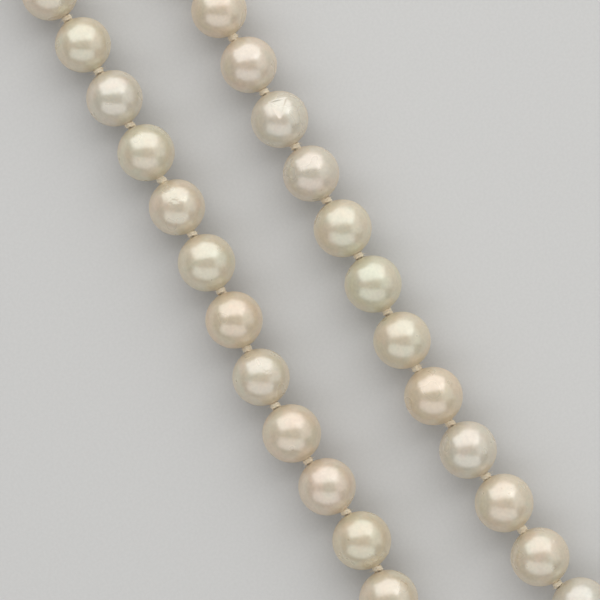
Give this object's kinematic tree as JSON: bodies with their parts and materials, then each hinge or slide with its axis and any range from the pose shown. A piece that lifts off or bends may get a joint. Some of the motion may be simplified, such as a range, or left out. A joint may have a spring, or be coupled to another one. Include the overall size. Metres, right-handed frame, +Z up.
{
  "type": "pearl necklace",
  "caption": "Single strand of hand-knotted round pearls on silk, graded towards the ends, with a lobster clasp that lies open beside its catch ring.",
  "frame": {"origin": "middle of the strand's box, on the table it lies on", "axes": "+Y from the front pearl towards the clasp, +X to the right with the clasp at the top, +Z up off the table"},
  "size_m": [0.0502, 0.2208, 0.0084],
  "materials": {
    "pearl": "satin nacre, cream with a faint rose and green overtone",
    "silk": "plied silk, matte with fine loose fibres",
    "gold": "polished yellow gold",
    "french_wire": "fine coiled gilt wire",
    "steel": "spring steel"
  },
  "bodies": {
    "front": {"pearl_front": "pearl", "silk_thread": "silk"},
    "left_01": {"pearl_left_01": "pearl"},
    "left_02": {"pearl_left_02": "pearl"},
    "left_03": {"pearl_left_03": "pearl"},
    "left_04": {"pearl_left_04": "pearl"},
    "left_05": {"pearl_left_05": "pearl"},
    "left_06": {"pearl_left_06": "pearl"},
    "left_07": {"pearl_left_07": "pearl"},
    "left_08": {"pearl_left_08": "pearl"},
    "left_09": {"pearl_left_09": "pearl"},
    "left_10": {"pearl_left_10": "pearl"},
    "left_11": {"pearl_left_11": "pearl"},
    "left_12": {"pearl_left_12": "pearl"},
    "left_13": {"pearl_left_13": "pearl"},
    "left_14": {"pearl_left_14": "pearl"},
    "left_15": {"pearl_left_15": "pearl"},
    "left_16": {"pearl_left_16": "pearl"},
    "left_17": {"pearl_left_17": "pearl"},
    "left_18": {"pearl_left_18": "pearl"},
    "left_19": {"pearl_left_19": "pearl"},
    "left_20": {"pearl_left_20": "pearl"},
    "left_21": {"pearl_left_21": "pearl"},
    "left_22": {"pearl_left_22": "pearl"},
    "left_23": {"pearl_left_23": "pearl"},
    "left_24": {"pearl_left_24": "pearl", "gimp_loop_left": "french_wire"},
    "right_01": {"pearl_right_01": "pearl"},
    "right_02": {"pearl_right_02": "pearl"},
    "right_03": {"pearl_right_03": "pearl"},
    "right_04": {"pearl_right_04": "pearl"},
    "right_05": {"pearl_right_05": "pearl"},
    "right_06": {"pearl_right_06": "pearl"},
    "right_07": {"pearl_right_07": "pearl"},
    "right_08": {"pearl_right_08": "pearl"},
    "right_09": {"pearl_right_09": "pearl"},
    "right_10": {"pearl_right_10": "pearl"},
    "right_11": {"pearl_right_11": "pearl"},
    "right_12": {"pearl_right_12": "pearl"},
    "right_13": {"pearl_right_13": "pearl"},
    "right_14": {"pearl_right_14": "pearl"},
    "right_15": {"pearl_right_15": "pearl"},
    "right_16": {"pearl_right_16": "pearl"},
    "right_17": {"pearl_right_17": "pearl"},
    "right_18": {"pearl_right_18": "pearl"},
    "right_19": {"pearl_right_19": "pearl"},
    "right_20": {"pearl_right_20": "pearl"},
    "right_21": {"pearl_right_21": "pearl"},
    "right_22": {"pearl_right_22": "pearl"},
    "right_23": {"pearl_right_23": "pearl"},
    "right_24": {"pearl_right_24": "pearl", "gimp_loop_right": "french_wire"},
    "jump_ring": {"jump_ring": "gold"},
    "clasp": {"clasp_body": "gold", "clasp_rivet": "gold", "clasp_spring": "steel"},
    "trigger": {"clasp_trigger": "gold"},
    "catch_ring": {"catch_ring": "gold"}
  },
  "joints": [
    {"name": "clasp_trigger_press", "type": "hinge", "parent": "clasp", "child": "trigger", "pos_m": [-0.00315, 0.1039, 0.0017], "axis": [0, 0, -1], "range_deg": [0, 28], "stiffness_Nm_per_rad": 0.004, "springref_deg": -5.73},
    {"name": "clasp_swing", "type": "hinge", "parent": "jump_ring", "child": "clasp", "pos_m": [-0.00324, 0.10019, 0.0017], "axis": [0, 0, 1], "range_deg": [-35, 35]},
    {"name": "jump_ring_swing", "type": "hinge", "parent": "left_24", "child": "jump_ring", "pos_m": [-0.00483, 0.09728, 0.00294], "axis": [0.8774, -0.4798, 0], "range_deg": [-10, 45]},
    {"name": "catch_ring_swing", "type": "hinge", "parent": "right_24", "child": "catch_ring", "pos_m": [0.01195, 0.09332, 0.00272], "axis": [-0.0324, 0.4214, 0.9063], "range_deg": [-40, 40]},
    {"name": "knot_left_01", "type": "hinge", "parent": "front", "child": "left_01", "pos_m": [-0.00653, -0.10622, 0.00421], "axis": [-0.2912, -0.9567, 0], "range_deg": [-34, 34], "deforming": ["silk_thread"]},
    {"name": "knot_left_02", "type": "hinge", "parent": "left_01", "child": "left_02", "pos_m": [-0.01416, -0.10111, 0.00417], "axis": [-0.6846, -0.7289, 0], "range_deg": [-34, 34], "deforming": ["silk_thread"]},
    {"name": "knot_left_03", "type": "hinge", "parent": "left_02", "child": "left_03", "pos_m": [-0.01959, -0.09396, 0.00415], "axis": [0.9095, 0.4156, 0], "range_deg": [-34, 34], "deforming": ["silk_thread"]},
    {"name": "knot_left_04", "type": "hinge", "parent": "left_03", "child": "left_04", "pos_m": [-0.02151, -0.08503, 0.00416], "axis": [0.9987, 0.0516, 0], "range_deg": [-34, 34], "deforming": ["silk_thread"]},
    {"name": "knot_left_05", "type": "hinge", "parent": "left_04", "child": "left_05", "pos_m": [-0.02052, -0.07609, 0.00411], "axis": [0.9854, -0.1702, 0], "range_deg": [-34, 34], "deforming": ["silk_thread"]},
    {"name": "knot_left_06", "type": "hinge", "parent": "left_05", "child": "left_06", "pos_m": [-0.01847, -0.0674, 0.00412], "axis": [-0.9673, 0.2536, 0], "range_deg": [-34, 34], "deforming": ["silk_thread"]},
    {"name": "knot_left_07", "type": "hinge", "parent": "left_06", "child": "left_07", "pos_m": [-0.01596, -0.0587, 0.00409], "axis": [-0.9564, 0.2922, 0], "range_deg": [-34, 34], "deforming": ["silk_thread"]},
    {"name": "knot_left_08", "type": "hinge", "parent": "left_07", "child": "left_08", "pos_m": [-0.01325, -0.0503, 0.00406], "axis": [0.6864, -0.1701, -0.7071], "range_deg": [-34, 34], "deforming": ["silk_thread"]},
    {"name": "knot_left_09", "type": "hinge", "parent": "left_08", "child": "left_09", "pos_m": [-0.0117, -0.04152, 0.00408], "axis": [-0.7039, 0.0668, -0.7071], "range_deg": [-34, 34], "deforming": ["silk_thread"]},
    {"name": "knot_left_10", "type": "hinge", "parent": "left_09", "child": "left_10", "pos_m": [-0.01157, -0.03263, 0.00403], "axis": [0.7063, 0.0338, 0.7071], "range_deg": [-34, 34], "deforming": ["silk_thread"]},
    {"name": "knot_left_11", "type": "hinge", "parent": "left_10", "child": "left_11", "pos_m": [-0.01254, -0.02396, 0.00403], "axis": [-0.7057, -0.0441, 0.7071], "range_deg": [-34, 34], "deforming": ["silk_thread"]},
    {"name": "knot_left_12", "type": "hinge", "parent": "left_11", "child": "left_12", "pos_m": [-0.01267, -0.01508, 0.00402], "axis": [-0.7069, 0.0172, 0.7071], "range_deg": [-34, 34], "deforming": ["silk_thread"]},
    {"name": "knot_left_13", "type": "hinge", "parent": "left_12", "child": "left_13", "pos_m": [-0.01211, -0.0064, 0.00397], "axis": [0.7047, -0.058, 0.7071], "range_deg": [-34, 34], "deforming": ["silk_thread"]},
    {"name": "knot_left_14", "type": "hinge", "parent": "left_13", "child": "left_14", "pos_m": [-0.01124, 0.00225, 0.00399], "axis": [-0.705, 0.0543, -0.7071], "range_deg": [-34, 34], "deforming": ["silk_thread"]},
    {"name": "knot_left_15", "type": "hinge", "parent": "left_14", "child": "left_15", "pos_m": [-0.01077, 0.011, 0.00395], "axis": [0.7067, -0.0233, -0.7071], "range_deg": [-34, 34], "deforming": ["silk_thread"]},
    {"name": "knot_left_16", "type": "hinge", "parent": "left_15", "child": "left_16", "pos_m": [-0.01067, 0.01955, 0.00393], "axis": [0.7071, -0.0048, -0.7071], "range_deg": [-34, 34], "deforming": ["silk_thread"]},
    {"name": "knot_left_17", "type": "hinge", "parent": "left_16", "child": "left_17", "pos_m": [-0.01065, 0.02823, 0.00394], "axis": [-0.7071, -0.0005, -0.7071], "range_deg": [-34, 34], "deforming": ["silk_thread"]},
    {"name": "knot_left_18", "type": "hinge", "parent": "left_17", "child": "left_18", "pos_m": [-0.01068, 0.03682, 0.00389], "axis": [0.7071, 0.0076, 0.7071], "range_deg": [-34, 34], "deforming": ["silk_thread"]},
    {"name": "knot_left_19", "type": "hinge", "parent": "left_18", "child": "left_19", "pos_m": [-0.01084, 0.0453, 0.0039], "axis": [-0.7065, -0.0293, 0.7071], "range_deg": [-34, 34], "deforming": ["silk_thread"]},
    {"name": "knot_left_20", "type": "hinge", "parent": "left_19", "child": "left_20", "pos_m": [-0.01139, 0.0539, 0.00388], "axis": [-0.7053, -0.0501, 0.7071], "range_deg": [-34, 34], "deforming": ["silk_thread"]},
    {"name": "knot_left_21", "type": "hinge", "parent": "left_20", "child": "left_21", "pos_m": [-0.01204, 0.06228, 0.00384], "axis": [0.7052, 0.0524, 0.7071], "range_deg": [-34, 34], "deforming": ["silk_thread"]},
    {"name": "knot_left_22", "type": "hinge", "parent": "left_21", "child": "left_22", "pos_m": [-0.01264, 0.07072, 0.00386], "axis": [-0.707, -0.0105, -0.7071], "range_deg": [-34, 34], "deforming": ["silk_thread"]},
    {"name": "knot_left_23", "type": "hinge", "parent": "left_22", "child": "left_23", "pos_m": [-0.01229, 0.07919, 0.00381], "axis": [0.7003, -0.0982, -0.7071], "range_deg": [-34, 34], "deforming": ["silk_thread"]},
    {"name": "knot_left_24", "type": "hinge", "parent": "left_23", "child": "left_24", "pos_m": [-0.01033, 0.08724, 0.00381], "axis": [0.6589, -0.2566, -0.7071], "range_deg": [-34, 34], "deforming": ["silk_thread"]},
    {"name": "knot_right_01", "type": "hinge", "parent": "front", "child": "right_01", "pos_m": [0.00262, -0.10622, 0.00421], "axis": [-0.1956, 0.9807, 0], "range_deg": [-34, 34], "deforming": ["silk_thread"]},
    {"name": "knot_right_02", "type": "hinge", "parent": "right_01", "child": "right_02", "pos_m": [0.0111, -0.1027, 0.00417], "axis": [-0.5217, 0.8531, 0], "range_deg": [-34, 34], "deforming": ["silk_thread"]},
    {"name": "knot_right_03", "type": "hinge", "parent": "right_02", "child": "right_03", "pos_m": [0.01793, -0.09686, 0.00415], "axis": [0.8116, -0.5842, 0], "range_deg": [-34, 34], "deforming": ["silk_thread"]},
    {"name": "knot_right_04", "type": "hinge", "parent": "right_03", "child": "right_04", "pos_m": [0.02139, -0.08841, 0.00416], "axis": [0.9883, -0.1528, 0], "range_deg": [-34, 34], "deforming": ["silk_thread"]},
    {"name": "knot_right_05", "type": "hinge", "parent": "right_04", "child": "right_05", "pos_m": [0.02062, -0.07945, 0.00411], "axis": [0.9536, 0.3012, 0], "range_deg": [-34, 34], "deforming": ["silk_thread"]},
    {"name": "knot_right_06", "type": "hinge", "parent": "right_05", "child": "right_06", "pos_m": [0.01612, -0.07173, 0.00412], "axis": [-0.8483, -0.5295, 0], "range_deg": [-34, 34], "deforming": ["silk_thread"]},
    {"name": "knot_right_07", "type": "hinge", "parent": "right_06", "child": "right_07", "pos_m": [0.0111, -0.06421, 0.00409], "axis": [-0.9065, -0.4222, 0], "range_deg": [-34, 34], "deforming": ["silk_thread"]},
    {"name": "knot_right_08", "type": "hinge", "parent": "right_07", "child": "right_08", "pos_m": [0.00866, -0.05572, 0.00406], "axis": [-0.6977, -0.1152, 0.7071], "range_deg": [-34, 34], "deforming": ["silk_thread"]},
    {"name": "knot_right_09", "type": "hinge", "parent": "right_08", "child": "right_09", "pos_m": [0.00823, -0.04681, 0.00408], "axis": [0.7057, 0.0444, 0.7071], "range_deg": [-34, 34], "deforming": ["silk_thread"]},
    {"name": "knot_right_10", "type": "hinge", "parent": "right_09", "child": "right_10", "pos_m": [0.00754, -0.03795, 0.00403], "axis": [-0.7051, -0.0527, -0.7071], "range_deg": [-34, 34], "deforming": ["silk_thread"]},
    {"name": "knot_right_11", "type": "hinge", "parent": "right_10", "child": "right_11", "pos_m": [0.00692, -0.02925, 0.00403], "axis": [0.7064, 0.0322, -0.7071], "range_deg": [-34, 34], "deforming": ["silk_thread"]},
    {"name": "knot_right_12", "type": "hinge", "parent": "right_11", "child": "right_12", "pos_m": [0.00674, -0.02037, 0.00402], "axis": [0.7071, -0.0081, -0.7071], "range_deg": [-34, 34], "deforming": ["silk_thread"]},
    {"name": "knot_right_13", "type": "hinge", "parent": "right_12", "child": "right_13", "pos_m": [0.00712, -0.01168, 0.00397], "axis": [-0.7064, 0.032, -0.7071], "range_deg": [-34, 34], "deforming": ["silk_thread"]},
    {"name": "knot_right_14", "type": "hinge", "parent": "right_13", "child": "right_14", "pos_m": [0.00753, -0.003, 0.00399], "axis": [0.7069, -0.0178, 0.7071], "range_deg": [-34, 34], "deforming": ["silk_thread"]},
    {"name": "knot_right_15", "type": "hinge", "parent": "right_14", "child": "right_15", "pos_m": [0.00756, 0.00577, 0.00395], "axis": [-0.7071, 0.0005, 0.7071], "range_deg": [-34, 34], "deforming": ["silk_thread"]},
    {"name": "knot_right_16", "type": "hinge", "parent": "right_15", "child": "right_16", "pos_m": [0.00754, 0.01432, 0.00393], "axis": [-0.7071, -0.001, 0.7071], "range_deg": [-34, 34], "deforming": ["silk_thread"]},
    {"name": "knot_right_17", "type": "hinge", "parent": "right_16", "child": "right_17", "pos_m": [0.00754, 0.023, 0.00394], "axis": [0.7071, -0.0039, 0.7071], "range_deg": [-34, 34], "deforming": ["silk_thread"]},
    {"name": "knot_right_18", "type": "hinge", "parent": "right_17", "child": "right_18", "pos_m": [0.00764, 0.03159, 0.00389], "axis": [-0.7069, 0.0185, -0.7071], "range_deg": [-34, 34], "deforming": ["silk_thread"]},
    {"name": "knot_right_19", "type": "hinge", "parent": "right_18", "child": "right_19", "pos_m": [0.00798, 0.04006, 0.0039], "axis": [0.7059, -0.041, -0.7071], "range_deg": [-34, 34], "deforming": ["silk_thread"]},
    {"name": "knot_right_20", "type": "hinge", "parent": "right_19", "child": "right_20", "pos_m": [0.00863, 0.04865, 0.00388], "axis": [0.7035, -0.0711, -0.7071], "range_deg": [-34, 34], "deforming": ["silk_thread"]},
    {"name": "knot_right_21", "type": "hinge", "parent": "right_20", "child": "right_21", "pos_m": [0.00969, 0.05699, 0.00384], "axis": [-0.7004, 0.0972, -0.7071], "range_deg": [-34, 34], "deforming": ["silk_thread"]},
    {"name": "knot_right_22", "type": "hinge", "parent": "right_21", "child": "right_22", "pos_m": [0.01095, 0.06536, 0.00386], "axis": [0.6985, -0.11, 0.7071], "range_deg": [-34, 34], "deforming": ["silk_thread"]},
    {"name": "knot_right_23", "type": "hinge", "parent": "right_22", "child": "right_23", "pos_m": [0.01233, 0.07372, 0.00381], "axis": [-0.7026, 0.0793, 0.7071], "range_deg": [-34, 34], "deforming": ["silk_thread"]},
    {"name": "knot_right_24", "type": "hinge", "parent": "right_23", "child": "right_24", "pos_m": [0.01283, 0.08199, 0.00381], "axis": [-0.7071, -0.0064, 0.7071], "range_deg": [-34, 34], "deforming": ["silk_thread"]}
  ]
}
